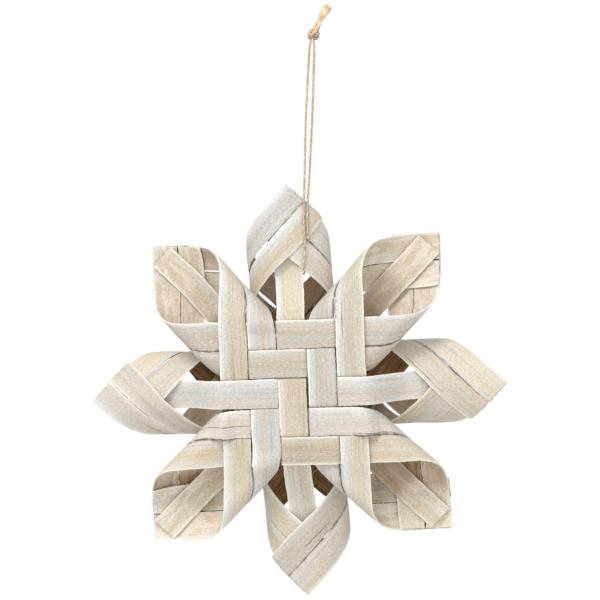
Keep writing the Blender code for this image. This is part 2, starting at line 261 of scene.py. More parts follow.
camera = {
    "turn": (87.5, 0, 5),  # seen from a little above and to the right, degrees
    "distance": 850.0, "frameWidth": 363.6,
    "aim": (2.0, 53.8),    # to the right and up from the ornament's middle
}
light = {
    "backdrop": 1,  # plain white behind the ornament
    "room": 0.75,   # and a little dimmer round it, so that hollows stay dark
    "keyPlace": (-0.5, -1, 1.05), "keySize": 0.5, "keyPower": 12.8,
    "fillPlace": (0.1, -1.5, -0.1), "fillSize": 0.9, "fillPower": 2.5,
    "aim": (0, 0, -0.2),
}


def linear(hexColour):
    values = [int(hexColour[i:i + 2], 16) / 255 for i in (1, 3, 5)]
    return tuple(v / 12.92 if v <= 0.04045 else ((v + 0.055) / 1.055) ** 2.4 for v in values) + (1.0,)


def addNode(tree, kind, settings=None, **links):
    # a node with its settings; each link is an input's name or number (n0, n1 ...) and its value
    node = tree.nodes.new(kind)
    for name, value in (settings or {}).items():
        setattr(node, name, value)
    for name, value in links.items():
        key = int(name[1:]) if name[0] == "n" else name
        if isinstance(value, bpy.types.NodeSocket):
            tree.links.new(value, node.inputs[key])
        else:
            node.inputs[key].default_value = linear(value) if isinstance(value, str) else value
    return node


def addCamera():
    data = bpy.data.cameras.new("camera")
    data.sensor_width = 36.0
    data.lens = data.sensor_width * camera["distance"] / camera["frameWidth"]
    data.clip_start = 0.05
    view = bpy.data.objects.new("camera", data)
    view.rotation_euler = [math.radians(angle) for angle in camera["turn"]]
    place = view.rotation_euler.to_matrix() @ Vector((*camera["aim"], camera["distance"]))
    view.location = (place - Vector(hangPoint)) * mm
    bpy.context.scene.collection.objects.link(view)
    bpy.context.scene.camera = view


def areaLight(name):
    data = bpy.data.lights.new(name, "AREA")
    data.size, data.energy = light[name + "Size"], light[name + "Power"]
    lamp = bpy.data.objects.new(name, data)
    lamp.location = place = Vector(light[name + "Place"])
    lamp.rotation_euler = (Vector(light["aim"]) - place).to_track_quat("-Z", "Y").to_euler()
    bpy.context.scene.collection.objects.link(lamp)


addCamera()
areaLight("key")
areaLight("fill")
world = bpy.data.worlds.new("studio")
bpy.context.scene.world = world
world.use_nodes = True
background = world.node_tree.nodes["Background"]
background.inputs["Color"].default_value = (1, 1, 1, 1)
seen = addNode(world.node_tree, "ShaderNodeLightPath").outputs["Is Camera Ray"]
strength = addNode(world.node_tree, "ShaderNodeMix", n0=seen, n2=light["room"], n3=light["backdrop"])
world.node_tree.links.new(strength.outputs[0], background.inputs["Strength"])
bpy.context.scene.view_settings.view_transform = "Standard"
print("camera and light done")


def newMaterial(name, roughness, specular=0.5):
    material = bpy.data.materials.new(name)
    material.use_nodes = True
    shader = material.node_tree.nodes["Principled BSDF"]
    shader.inputs["Roughness"].default_value = roughness
    shader.inputs["Specular IOR Level"].default_value = specular
    return material, material.node_tree, shader


def drawnOut(tree, patterns, roughness):
    # noise drawn out along a strip or a ply
    place = addNode(tree, "ShaderNodeUVMap", {"uv_map": "grain"}).outputs[0]
    made = {}
    for name, (across, along, detail, distortion) in patterns.items():
        scaled = addNode(tree, "ShaderNodeMapping", Vector=place,
                         Scale=(1 / (across * mm), 1 / (along * mm), 1.0))
        made[name] = addNode(tree, "ShaderNodeTexNoise", {"noise_dimensions": "2D"},
                             Vector=scaled.outputs[0], Scale=1.0, Detail=detail,
                             Roughness=roughness, Distortion=distortion).outputs["Fac"]
    return made


def layered(tree, colour, patterns, layers):
    # each layer: its colour, the pattern and range of it that show it, its strength, and where
    # strips differ in it its amount
    for laid, pattern, low, high, strength, *amount in layers:
        share = addNode(tree, "ShaderNodeMapRange", n0=patterns[pattern], n1=low, n2=high,
                        n4=strength).outputs[0]
        if amount:
            share = addNode(tree, "ShaderNodeMath", {"operation": "MULTIPLY", "use_clamp": True},
                            n0=share, n1=amount[0]).outputs[0]
        colour = addNode(tree, "ShaderNodeMix", {"data_type": "RGBA"}, n0=share, n6=colour,
                         n7=veneer.get(laid, laid)).outputs[2]
    return colour


veneer = {
    "wash": "#c1c4c4",        # limewash brushed over the face
    "warmWash": "#c8bcb2",    # where it has soaked in
    "coolWashAndHighlight": "#e2e8ea",    # thicker and bluer along one edge, the one towards the light, where it is also a painted highlight
    "raw": "#d0b78d",         # bare chipwood showing through
    "rawDark": "#b58f66",     # its latewood lines
    "cream": "#cdcaaf",       # yellower strips
    "chalk": "#efeeea",       # specks of dry wash
    "dust": "#9c8a76",        # pores that the wash has missed
    "edge": "#f6efe2",        # cut edge, also laid on the rubbed outer edges as a painted highlight
    "inside": "#ad8a60",      # unpainted inner face
    "insideDark": "#705131",  # its latewood lines
    "insideWarm": "#e8d6bd",  # thin wash on the inner face
    "crack": "#5f4935",       # painted shadow in a split or a seam, and painted shade under and beside strips that cross over
    "grimeAndShade": "#a3937f",       # handled and dusty, and painted shade
    "paleAndLit": "#efe5d5",        # rubbed pale, and painted light
    "seedGap": 0.37,          # metres of pattern between one strip and the next
    "patterns": {
        # how far apart across and along the strip in mm, then detail and distortion
        "lines": (1.1, 38, 3, 0.3),  # grain lines, coarser than the real 0.3 to show
        "bands": (3.4, 150, 2, 0),  # bands of one tone run the length of a strip
        "tints": (5.8, 105, 1, 0),
        "patches": (4.5, 15, 3, 0.5),  # where the brush skipped
        "specks": (0.7, 1.8, 2, 0),  # mottle of the dry wash
    },
}


def stripLook(tree):
    # the patterns, and each strip's own amounts of bare wood, cream tint and so on
    amounts = []
    for name in ("look", "shadeAndTone", "worn"):
        node = addNode(tree, "ShaderNodeAttribute", {"attribute_name": name})
        parts = addNode(tree, "ShaderNodeSeparateColor", Color=node.outputs["Color"])
        amounts += [*parts.outputs[:3], node.outputs["Alpha"]]
    # most of these amounts also carry painted light and shade: the contact and edge amounts are painted
    # shade, and the cool wash, inner wash, grime, paleness and rubbed edges are partly painted light and
    # shade
    names = ("tan", "cream", "coolAndLit", "washAndLight", "contactShade", "edgeShade", "grimeAndShade", "paleAndLit", "rubbedAndLit")
    return drawnOut(tree, veneer["patterns"], roughness=0.6), dict(zip(names, amounts))


def washedColour(tree, patterns, amounts):
    # limewash over the grain: long bands of tone, brushed patches, then chalk and dust in specks
    return layered(tree, veneer["wash"], patterns, (
        ("warmWash", "tints", 0.36, 0.64, 0.85),
        ("chalk", "bands", 0.5, 0.28, 0.22),
        ("cream", "tints", 0.75, 0.35, 1, amounts["cream"]),
        ("raw", "bands", 0.26, 0.7, 1, amounts["tan"]),
        ("raw", "patches", 0.35, 0.65, 0.5, amounts["tan"]),
        ("rawDark", "lines", 0.5, 0.75, 0.45, amounts["tan"]),
        # grime, paleness and the cool wash here also lay painted shade, painted light and a painted
        # highlight
        ("grimeAndShade", "bands", 0, 0.6, 1, amounts["grimeAndShade"]),
        ("paleAndLit", "bands", 0, 0.5, 0.9, amounts["paleAndLit"]),
        ("coolWashAndHighlight", "patches", 0.1, 0.5, 1, amounts["coolAndLit"]),
        ("dust", "lines", 0.5, 0.7, 0.27),
        ("chalk", "specks", 0.5, 0.8, 0.4),
        ("dust", "specks", 0.5, 0.2, 0.32)))


def brushedBump(tree, shader, patterns):
    # the brush leaves the grain standing a little
    height = addNode(tree, "ShaderNodeMix", n0=0.4, n2=patterns["lines"], n3=patterns["specks"])
    bump = addNode(tree, "ShaderNodeBump", Strength=0.5, Distance=0.12 * mm, Height=height.outputs[0])
    tree.links.new(bump.outputs[0], shader.inputs["Normal"])


def washedVeneer():
    # limewashed chipwood, peeled and brushed by hand: a dry chalky face, tan grain where the wash
    # is thin, bluish white where it lies thick, painted highlights on edges towards the light, and dark
    # painted shade where another strip covers it or meets it
    material, tree, shader = newMaterial("limewashed chipwood, outer face", 0.72, 0.28)
    patterns, amounts = stripLook(tree)
    colour = layered(tree, washedColour(tree, patterns, amounts), patterns, (
        # a painted highlight on the rubbed edges, then painted shade under and beside other strips
        ("edge", "patches", 0, 0.4, 0.8, amounts["rubbedAndLit"]),
        ("crack", "patches", 0, 0.2, 0.9, amounts["contactShade"])))
    tree.links.new(colour, shader.inputs["Base Color"])
    brushedBump(tree, shader, patterns)
    return material


def bareVeneer():
    # the same chipwood on its inner face: washed at the petals' mouths, and warm bare brown
    # further in, where the brush didn't reach, with painted shade deeper in and painted shadow under the
    # mouths' rims; its rubbed edges carry a painted highlight
    material, tree, shader = newMaterial("chipwood, inner face", 0.8, 0.25)
    patterns, amounts = stripLook(tree)
    washed = layered(tree, washedColour(tree, patterns, amounts), patterns, (
        ("insideWarm", "tints", 0, 0.5, 0.5),
        ("edge", "patches", 0.48, 0.68, 0.5),
        ("raw", "patches", 0.46, 0.3, 0.5),
        ("edge", "specks", 0.5, 0.8, 0.4),
        ("dust", "specks", 0.48, 0.2, 0.3),
        ("edge", "patches", 0, 0.4, 0.9, amounts["rubbedAndLit"])))
    raw = layered(tree, veneer["inside"], patterns, (
        ("insideDark", "lines", 0.35, 0.68, 1),
        ("insideDark", "bands", 0.4, 0.7, 0.5),
        ("warmWash", "patches", 0.55, 0.85, 0.4)))
    colour = addNode(tree, "ShaderNodeMix", {"data_type": "RGBA"}, n0=amounts["washAndLight"], n6=raw,
                     n7=washed)
    tree.links.new(colour.outputs[2], shader.inputs["Base Color"])
    brushedBump(tree, shader, patterns)
    return material


def cutEdge():
    # sheared edge of the chipwood: pale torn fibres without wash, with painted shade where a neighbour
    # hides it and on the edges turned from the light
    material, tree, shader = newMaterial("chipwood, sheared edge", 0.85, 0.2)
    patterns, amounts = stripLook(tree)
    colour = layered(tree, veneer["edge"], patterns, (
        ("raw", "specks", 0.5, 0.95, 1),
        ("crack", "patches", 0, 0.2, 0.95, amounts["edgeShade"])))
    tree.links.new(colour, shader.inputs["Base Color"])
    return material


def splitWood():
    # the inside of a split in chipwood: dull and in shadow, so it is one dark brown
    material, _, shader = newMaterial("split in chipwood", 0.9, 0.1)
    shader.inputs["Base Color"].default_value = linear(veneer["crack"])
    return material


jute = {
    "twine": ("#ac9674", "#d3c4a8", "#e9dcc4"),    # dark, plain and light fibres
    "turns": ("#a88a68", "#dbc09c", "#f0dec4"),    # golden in the knot
    "tail": ("#c09a6e", "#e6c698", "#f2dcbb"),     # paler where they are combed out
    "radius": 0.72,  # of the twine
    "ply": 0.5,      # radius of one of its two plies
    "lay": 4.6,      # one full twist in this length
    "patterns": {"strands": (0.35, 2.4, 3, 0), "blotches": (3, 9, 3, 0)},
}


def juteMaterial(name, colours, lighter):
    # spun jute: dull golden bast fibres, hairy, darker in the groove between the plies
    material, tree, shader = newMaterial(name, 0.85, 0.2)
    patterns = drawnOut(tree, jute["patterns"], roughness=0.5)
    colour = layered(tree, colours[0], patterns, (
        (colours[1], "strands", 0.4, 0.6, 1),
        (colours[2], "blotches", 0.75 - lighter, 1.05 - lighter, 1)))
    tree.links.new(colour, shader.inputs["Base Color"])
    bump = addNode(tree, "ShaderNodeBump", Strength=0.6, Distance=0.1 * mm, Height=patterns["strands"])
    tree.links.new(bump.outputs[0], shader.inputs["Normal"])
    return material


outerFace, innerFace, edgeFace, splitFace = washedVeneer(), bareVeneer(), cutEdge(), splitWood()
juteTwine = juteMaterial("spun jute twine", jute["twine"], 0.25)
juteTurns = juteMaterial("knotted jute twine", jute["turns"], 0.25)
juteTail = juteMaterial("combed-out jute ends", jute["tail"], 0.4)
print("materials done")


twine = {
    "step": 0.4,              # between rings, mm
    "spanSteps": 24,          # fine steps between two of a line's points, to measure it
    "sides": 8,
    "patternRound": 2.8,      # mm of pattern round a ply or fibre
    "hairs": 420,             # loose fibres on the string
    "hairLength": (0.8, 2.6),
    "hairRadius": 0.035,
    "hairTaper": (1, 1, 0.9, 0.7, 0.35),
    "hairRoot": 0.7,          # it starts this share of the radius from the middle of the twine
    "hairLean": (0.25, 0.9),  # radians from the twine
    "hairBend": 0.25,
}
stringRoute = {
    # by the top petal: along its axis, to its right and in front, in mm
    "behind": ((80.5, 11, -2.6), (83, 11.6, -2.6), (88.9, 13.6, -2.7)),
    "slit": ((91.9, 14.3, -2.5), (92, 14.3, -1.5), (92, 14.3, 0), (92.2, 14.3, 0.8)),
    "over": ((93.9, 14.3, 2.5), (96.1, 14.3, 3.1), (104, 14.1, 2.6), (112, 14.8, 2.7)),
    "front": ((112, 12.7, 2.6), (104, 12.2, 2.4), (98, 12.1, 2.3), (90.6, 12, 2.7),
              (86, 11.5, 1.5), (80.8, 10.7, 1.2), (75.2, 9.8, 1.2)),
    "turn": ((72, 9.6, 0.9), (70.7, 9.6, -0.2), (70.7, 9.7, -1.4), (72, 9.9, -2.4),
             (75.2, 10.2, -2.6), (78.5, 10.7, -2.6)),
    # between the petal and the knot, and in it: x, y and z from the hanging point
    "up": ((-0.7, 0, -72), (0.8, 0, -42), (1.8, 0, -12), (2, 0, 0.4), (1.7, 0, 3.6)),
    "inKnot": ((2.2, 0.3, 6.2), (2.6, 0.2, 8.2), (1.6, 0, 9.6), (0.4, -0.2, 8),
               (0.1, -0.2, 5.8)),
    "down": ((-0.2, 0, 3.6), (-0.8, 0, 0.4), (-1.5, 0, -12), (-3, 0, -42), (-3.6, 0, -70)),
    "pinch": (92, 14.3, -0.4),  # the petal's two strips squeeze it here
    "pinchTo": 0.5, "pinchReach": (1.2, 1.6),
    "hairyBetween": (-106, 2),  # heights with loose fibres
    "sideSplit": -0.3,          # between the loop's two sides
}
knot = {
    # x right and z up from the hanging point, y towards the front is negative
    "middle": (1.7, 0, 7.7),
    "lean": 22,      # its turns slant by this many degrees
    "turns": 3.3, "startAngle": 0.6, "radius": 2.95, "rise": 5.2, "round": 1.8, "points": 26,
    "core": ((1.1, 0, 5), (1.7, 0, 7.7), (2.5, 0, 11)),
    "coreRadius": 2.7, "coreEnd": 0.25,
    # the last pass slants over the turns
    "band": ((-0.4, 1.2, 5.9), (-1.3, -1.2, 6), (0.2, -3.5, 6.6), (2.6, -3.8, 8.5),
             (4.3, -2.2, 10.2), (4.2, 0.6, 10.8)),
    # the two loosened strands above it
    "necks": (((1.4, -1, 9.3), (2.9, -1.1, 12.9), (4.5, -0.8, 16), (6.2, -0.6, 19),
               (7.8, -0.6, 21.2)),
              ((3.2, -0.7, 9), (4.7, -0.8, 12.3), (5.9, -0.5, 15.1), (7.6, -0.2, 17.9),
               (9.3, -0.1, 20.2))),
    "full": 1.3, "thick": 1.15,  # the strands are this much fuller in it and above it
    "untwist": 3.2,  # and twist this much less
    "hairs": 40, "coilHairs": (0.6, 1.8), "neckHairs": (0.8, 2.2),
    # the bundle of combed-out fibres, and its radii
    "tail": ((2.5, 0.2, 9.6), (4.2, 0.1, 13.6), (5.9, 0, 17), (7.4, 0, 19.6),
             (9, 0, 22), (10.4, 0, 24)),
    "tailRadii": (2.3, 1.8, 1.45, 2.1, 2.7, 2.3),
    "brush": 260,    # loose fibres round it
    "brushLength": (2, 5.2), "brushRadius": 0.09, "brushTaper": (1, 1, 1, 0.9, 0.7, 0.4),
    "brushSpread": 0.35, "brushCurl": 0.25,
}


def northPlace(along, across, height):
    # by the upper petal of the back half: out along its axis, to its right and forwards, in mm
    half = halves["back"]
    corner = petalAt(half, half["petals"]["north"])
    axis = cornerAxis(corner)
    right = (-axis[1], axis[0])
    rise = crossingRise(np.float64(along), np.float64(across)) + height
    return toWorld(half, axis[0] * along + right[0] * across, axis[1] * along + right[1] * across,
                   -rise) + strayAt(half, corner, np.float64(along))


def smoothLine(points):
    # evenly spaced places on a rounded curve through the points
    points = np.array(points, dtype=float)
    padded = np.vstack([2 * points[0] - points[1], points, 2 * points[-1] - points[-2]])
    spans = np.linalg.norm(np.diff(padded, axis=0), axis=1)[:, None]
    slopes = (padded[2:] - padded[:-2]) / (spans[:-1] + spans[1:])
    share = np.linspace(0, 1, twine["spanSteps"], endpoint=False)[:, None]
    cube, square = share ** 3, share ** 2
    fine = [(2 * cube - 3 * square + 1) * points[k] + (3 * square - 2 * cube) * points[k + 1]
            + ((cube - 2 * square + share) * slopes[k] + (cube - square) * slopes[k + 1]) * spans[k + 1]
            for k in range(len(points) - 1)]
    fine = np.vstack([*fine, points[-1]])
    walked = np.concatenate([[0], np.cumsum(np.linalg.norm(np.diff(fine, axis=0), axis=1))])
    places = np.linspace(0, walked[-1], round(walked[-1] / twine["step"]) + 1)
    return np.stack([np.interp(places, walked, fine[:, i]) for i in range(3)], axis=1)


def lineFrames(line):
    # a direction and two steady sideways directions at each place of a line
    ahead = np.gradient(line, axis=0)
    ahead /= np.linalg.norm(ahead, axis=1)[:, None]
    side = np.cross(ahead[0], (0.0, 1.0, 0.3))
    sides = []
    for direction in ahead:
        side = side - direction * side.dot(direction)
        side = side / np.linalg.norm(side)
        sides.append(side)
    sides = np.array(sides)
    return ahead, sides, np.cross(ahead, sides)


def newGrid():
    grid = bmesh.new()
    return grid, grid.loops.layers.uv.new("grain")


def addTube(grid, uvs, line, radii, sides, start):
    # one ply or fibre, closed at both ends; its pattern begins at start
    _, first, second = lineFrames(line)
    angles = np.linspace(0, 2 * math.pi, sides, endpoint=False)
    rings = []
    for place, one, two, radius in zip(line, first, second, radii):
        ring = place + radius * (np.outer(np.cos(angles), one) + np.outer(np.sin(angles), two))
        rings.append([grid.verts.new(Vector(point) * mm) for point in ring])
    for low in range(len(rings) - 1):
        for k in range(sides):
            corners = ((k, low), (k + 1, low), (k + 1, low + 1), (k, low + 1))
            face = grid.faces.new([rings[along][turn % sides] for turn, along in corners])
            face.smooth = True
            for loop, (turn, along) in zip(face.loops, corners):
                loop[uvs].uv = (turn / sides * twine["patternRound"] * mm + start,
                                along * twine["step"] * mm)
    grid.faces.new(list(reversed(rings[0])))
    grid.faces.new(rings[-1])


def addTwine(grid, uvs, line, start, squeeze=None, untwist=1.0):
    # two plies round the line, squeezed or loosened along it
    _, first, second = lineFrames(line)
    turn = np.arange(len(line)) * twine["step"] / (jute["lay"] * untwist) * 2 * math.pi
    squeeze = np.ones(len(line)) if squeeze is None else squeeze
    offset = ((jute["radius"] - jute["ply"]) * squeeze)[:, None]
    for ply in range(2):
        angle = (turn + ply * math.pi)[:, None]
        place = line + offset * (np.cos(angle) * first + np.sin(angle) * second)
        addTube(grid, uvs, place, jute["ply"] * squeeze, twine["sides"], start + ply * 0.05)


def addHairs(grid, uvs, line, count, lengths, seed):
    # loose fibres that leave the twine at a low angle
    chance = np.random.default_rng(seed)
    ahead, first, second = lineFrames(line)
    radii = twine["hairRadius"] * np.array(twine["hairTaper"])
    share = np.linspace(0, 1, len(radii))[:, None]
    for hair in range(count):
        here = chance.integers(2, len(line) - 2)
        angle, length = chance.uniform(0, 2 * math.pi), chance.uniform(*lengths)
        away = math.cos(angle) * first[here] + math.sin(angle) * second[here]
        lean = chance.uniform(*twine["hairLean"])
        direction = ahead[here] * chance.choice((-1, 1)) * math.cos(lean) + away * math.sin(lean)
        bend = np.cross(direction, chance.normal(size=3)) * chance.uniform(0.0, twine["hairBend"])
        root = line[here] + away * jute["radius"] * twine["hairRoot"]
        addTube(grid, uvs, root + (direction + bend * share) * length * share, radii, 3,
                0.2 + 0.01 * hair)


def addPiece(name, mesh, materials):
    piece = bpy.data.objects.new(name, mesh)
    for material in materials:
        mesh.materials.append(material)
    bpy.context.scene.collection.objects.link(piece)
    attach(piece, "root")
    return piece


def finishMesh(name, grid, materials):
    mesh = bpy.data.meshes.new(name)
    grid.normal_update()
    grid.to_mesh(mesh)
    grid.free()
    return addPiece(name, mesh, materials)


def buildString():
    byPetal = {key: [northPlace(*place) for place in stringRoute[key]]
               for key in ("behind", "slit", "over", "front", "turn")}
    order = ("behind", "slit", "over", "up", "inKnot", "down", "front", "turn")
    line = smoothLine([place for key in order for place in byPetal.get(key, stringRoute[key])])
    away = np.linalg.norm(line - northPlace(*stringRoute["pinch"]), axis=1)
    least = stringRoute["pinchTo"]
    grid, uvs = newGrid()
    addTwine(grid, uvs, line, 0.0, least + (1 - least) * ramp(away, *stringRoute["pinchReach"]))
    piece = finishMesh("jute_string", grid, [juteTwine])
    hairs, uvs = newGrid()
    lowest, highest = stringRoute["hairyBetween"]
    for seed, side in enumerate((-1, 1)):
        chosen = side * (line[:, 0] - stringRoute["sideSplit"]) > 0
        strand = line[chosen & (line[:, 2] < highest) & (line[:, 2] > lowest)]
        addHairs(hairs, uvs, strand, twine["hairs"] // 2, twine["hairLength"], 11 + seed)
    length = np.linalg.norm(np.diff(line, axis=0), axis=1).sum()
    return piece, finishMesh("jute_hairs", hairs, [juteTwine]), line, length


def addBrush(grid, uvs, line, radii):
    # fibres that stand out of the upper three fifths of the bundle
    ahead, first, second = lineFrames(line)
    chance = np.random.default_rng(23)
    share = np.linspace(0, 1, len(line))
    step = np.linspace(0, 1, len(knot["brushTaper"]))[:, None]
    for fibre in range(knot["brush"]):
        root = chance.integers(len(line) * 2 // 5, len(line))
        angle, off = chance.uniform(0, 2 * math.pi), math.sqrt(chance.uniform(0.2, 1))
        away = math.cos(angle) * first[root] + math.sin(angle) * second[root]
        direction = ahead[root] + away * off * chance.uniform(0.0, knot["brushSpread"])
        length = chance.uniform(*knot["brushLength"]) * (1.3 - share[root])
        curl = chance.normal(scale=knot["brushCurl"], size=3) * step ** 2
        addTube(grid, uvs, line[root] + away * radii[root] * off + direction * length * step + curl,
                knot["brushRadius"] * np.array(knot["brushTaper"]), 3, 1.4 + 0.003 * fibre)


def buildKnot():
    grid, uvs = newGrid()
    share = np.linspace(-0.5, 0.5, knot["points"])
    angle = share * knot["turns"] * 2 * math.pi + knot["startAngle"]
    lean = math.radians(knot["lean"])
    axis = np.array((math.sin(lean), 0.0, math.cos(lean)))
    side = np.array((math.cos(lean), 0.0, -math.sin(lean)))
    reach = knot["radius"] * np.sqrt(1 - (knot["round"] * share) ** 2)[:, None]
    coil = np.array(knot["middle"]) + np.outer(share * knot["rise"], axis) + reach * (
        np.outer(np.cos(angle), side) + np.outer(np.sin(angle), (0.0, 1.0, 0.0)))

    def addStrand(points, start, thickness):
        line = smoothLine(points)
        addTwine(grid, uvs, line, start, np.full(len(line), thickness), knot["untwist"])
        return line

    coil = addStrand(coil, 0.3, knot["full"])
    addHairs(grid, uvs, coil, knot["hairs"], knot["coilHairs"], 5)
    core = smoothLine(knot["core"])
    swell = np.sin(np.linspace(knot["coreEnd"], math.pi - knot["coreEnd"], len(core)))
    addTube(grid, uvs, core, knot["coreRadius"] * swell, 16, 0.5)
    addStrand(knot["band"], 0.6, knot["full"])
    for face in grid.faces:
        face.material_index = 1
    for number, neck in enumerate(knot["necks"]):
        line = addStrand(neck, 0.8 + 0.2 * number, knot["thick"])
        addHairs(grid, uvs, line, knot["hairs"], knot["neckHairs"], 31 + number)
    tail = smoothLine(knot["tail"])
    known = np.linspace(0, 1, len(knot["tailRadii"]))
    radii = np.interp(np.linspace(0, 1, len(tail)), known, knot["tailRadii"])
    addTube(grid, uvs, tail, radii, 20, 1.2)
    addBrush(grid, uvs, tail, radii)
    return finishMesh("jute_knot", grid, [juteTail, juteTurns])


string, stringHairs, stringLine, stringLength = buildString()
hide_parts("string_loop")
knotPiece = buildKnot()
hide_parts("string_knot")
print(f"string done, {stringLength:.0f} mm long")


plainStrip = {
    # what a strip has where its own entry doesn't say
    "toneAndLight": (0, 0, 0),  # from -1, grimy and in painted shade, to 1, rubbed pale and in painted light
    "shift": 0.0,       # across, mm
    "tanSide": 0.0,     # barer towards its right or upper edge
    "notch": None,      # where an edge curves in, or out if negative: side, from, to, depth
    "wallWashAndLight": None,   # how much paler the inner face is near the weave, at each end: wash and painted light
    "rimShadow": (),       # painted shadow on that face under a mouth's rim: from, to, amount
    "splits": (),       # along the grain: across from its middle line, from, to
}
strips = {
    # threes are for the low end, middle and high end: width in mm, then bare tan wood, cream tint
    # and cool edge with its painted highlight from 0 to 1, and tone with its painted light and shade
    "front_upright": (      # left to right
        {"tan": (0.5, 0.72, 0.4), "cream": (0.85, 0.75, 0.45), "coolAndLit": (0.9, 0.8, 1),
         "toneAndLight": (0.9, -0.45, 0.8), "tanSide": 0.25, "rimShadow": ((86, 118, 0.45),)},
        {"width": (17.2, 16.4, 16.3), "tan": (0, 0.2, 0.3), "cream": (0, 0.05, 0.15),
         "coolAndLit": (1, 0.7, 0.5), "toneAndLight": (0.2, 0, 0.35), "shift": 0.2, "rimShadow": ((-114, -92, 0.5),)},
        {"tan": (0.4, 0.78, 0.65), "cream": (0.1, 0.35, 0.3), "coolAndLit": (0.6, 0.5, 0.8),
         "toneAndLight": (0.1, 0, 0.7), "shift": -0.3},
        {"width": (16.3, 16.2, 16.3), "tan": (0.15, 0.2, 0.25), "cream": (0, 0.1, 0.05),
         "coolAndLit": (0.8, 0.6, 0.9), "toneAndLight": (0.2, -0.15, 0.2), "shift": 0.1, "notch": (-1, -118, -58, -2),
         "rimShadow": ((-102, -80, 0.5),)},
        {"width": (16.3, 16.7, 16.3), "tan": (0.3, 0.25, 0.2), "cream": (0.7, 0.7, 0.75),
         "coolAndLit": (0.7, 0.8, 1), "toneAndLight": (0.3, -0.1, 0), "shift": 0.3, "tanSide": 0.2,
         "splits": ((-4, 30, 52),)}),
    "front_level": (      # top to bottom
        {"width": (16.3, 16.5, 16.3), "tan": (0.4, 0.38, 0.3), "cream": (0.05, 0.1, 0),
         "coolAndLit": (0.5, 0.4, 0.7), "toneAndLight": (-0.1, -0.2, 0.2)},
        {"width": (16.3, 16.4, 16.3), "tan": (0.35, 0.5, 0.35), "cream": (0.05, 0.1, 0.05),
         "coolAndLit": (0.5, 0.4, 0.5), "toneAndLight": (-0.1, -0.2, 0.1), "shift": 0.2},
        {"width": (16.3, 17, 16.3), "tan": (0.05, 0.12, 0), "cream": (0, 0, 0),
         "coolAndLit": (0.6, 0.6, 0.9), "toneAndLight": (0.1, 0.1, 0.45)},
        {"width": (16.3, 16.4, 16.3), "tan": (0.35, 0.2, 0.1), "cream": (0.1, 0, 0.05),
         "coolAndLit": (0.6, 0.6, 0.8), "toneAndLight": (0.9, 0.1, 0.6), "shift": -0.2,
         "rimShadow": ((84, 112, 0.95), (-114, -88, 0.9)), "splits": ((-1.5, -64, -26), (-7.4, 34, 66))},
        {"width": (16.3, 16.5, 16.3), "tan": (0.85, 0.66, 0.75), "cream": (0.35, 0.2, 0.35),
         "coolAndLit": (0.3, 0.3, 0.3), "toneAndLight": (1, -0.6, 1), "tanSide": 0.15,
         "rimShadow": ((-112, -88, 0.6), (82, 116, 0.5))}),
    "back_falling": (
        {"width": (16.1, 16.6, 15.7), "tan": (0.4, 0.4, 0.1), "cream": (0.1, 0.1, 0),
         "coolAndLit": (0.4, 0.3, 1), "toneAndLight": (0.2, 0, 0), "notch": (-1, 42, 75, -0.8),
         "wallWashAndLight": (0.75, 0.5)},
        {"width": (16.1, 16.4, 15.6), "tan": (0.4, 0.4, 0.6), "cream": (0.1, 0.1, 0.1),
         "coolAndLit": (0.4, 0.3, 0.9), "toneAndLight": (0.2, 0, 0.2), "tanSide": 0.7, "wallWashAndLight": (0.7, 0.5)},
        {"width": (16.1, 16.4, 16.1), "tan": (0.45, 0.4, 0.4), "cream": (0.1, 0.1, 0.05),
         "coolAndLit": (0.3, 0.3, 0.3), "toneAndLight": (0, 0, -0.35), "rimShadow": ((-95, -60, 0.55),)},
        {"tan": (0.3, 0.4, 0.4), "cream": (0.2, 0.1, 0.05), "coolAndLit": (0.4, 0.3, 0.2),
         "toneAndLight": (-0.25, 0, 0.4), "splits": ((3.5, -116, -92),)},
        {"tan": (0.3, 0.4, 0.75), "cream": (0.15, 0.1, 0.2), "coolAndLit": (0.12, 0.2, 0.4),
         "toneAndLight": (0.2, 0, 0.6), "notch": (1, 40, 80, 1.9)}),
    "back_rising": (
        {"tan": (0.1, 0.4, 0.3), "cream": (0, 0.1, 0.1), "coolAndLit": (0.9, 0.3, 1), "toneAndLight": (0.8, 0, 0.2),
         "notch": (1, -74, -36, 2.8), "wallWashAndLight": (0.36, 0.85), "splits": ((-2.5, 70, 100),)},
        {"tan": (0.3, 0.4, 0.45), "cream": (0.3, 0.1, 0), "coolAndLit": (0.6, 0.3, 0.5),
         "toneAndLight": (0.8, 0, 0.1), "notch": (-1, -128, -80, 0.3), "wallWashAndLight": (0.3, 0.8)},
        {"width": (16.1, 16.4, 16.1), "tan": (0.45, 0.4, 0.2), "cream": (0.15, 0.1, 0.05),
         "coolAndLit": (0.3, 0.3, 0.5), "rimShadow": ((-95, -55, 0.3),)},
        {"tan": (0.65, 0.4, 0.7), "cream": (0.15, 0.1, 0.25), "coolAndLit": (0.4, 0.3, 0.4),
         "toneAndLight": (0.3, 0, 0.3), "splits": ((5.6, -112, -78),)},
        {"tan": (0.68, 0.4, 0.5), "cream": (0.2, 0.1, 0.2), "coolAndLit": (0.3, 0.3, 0.5),
         "toneAndLight": (0.6, 0, 0)}),
}
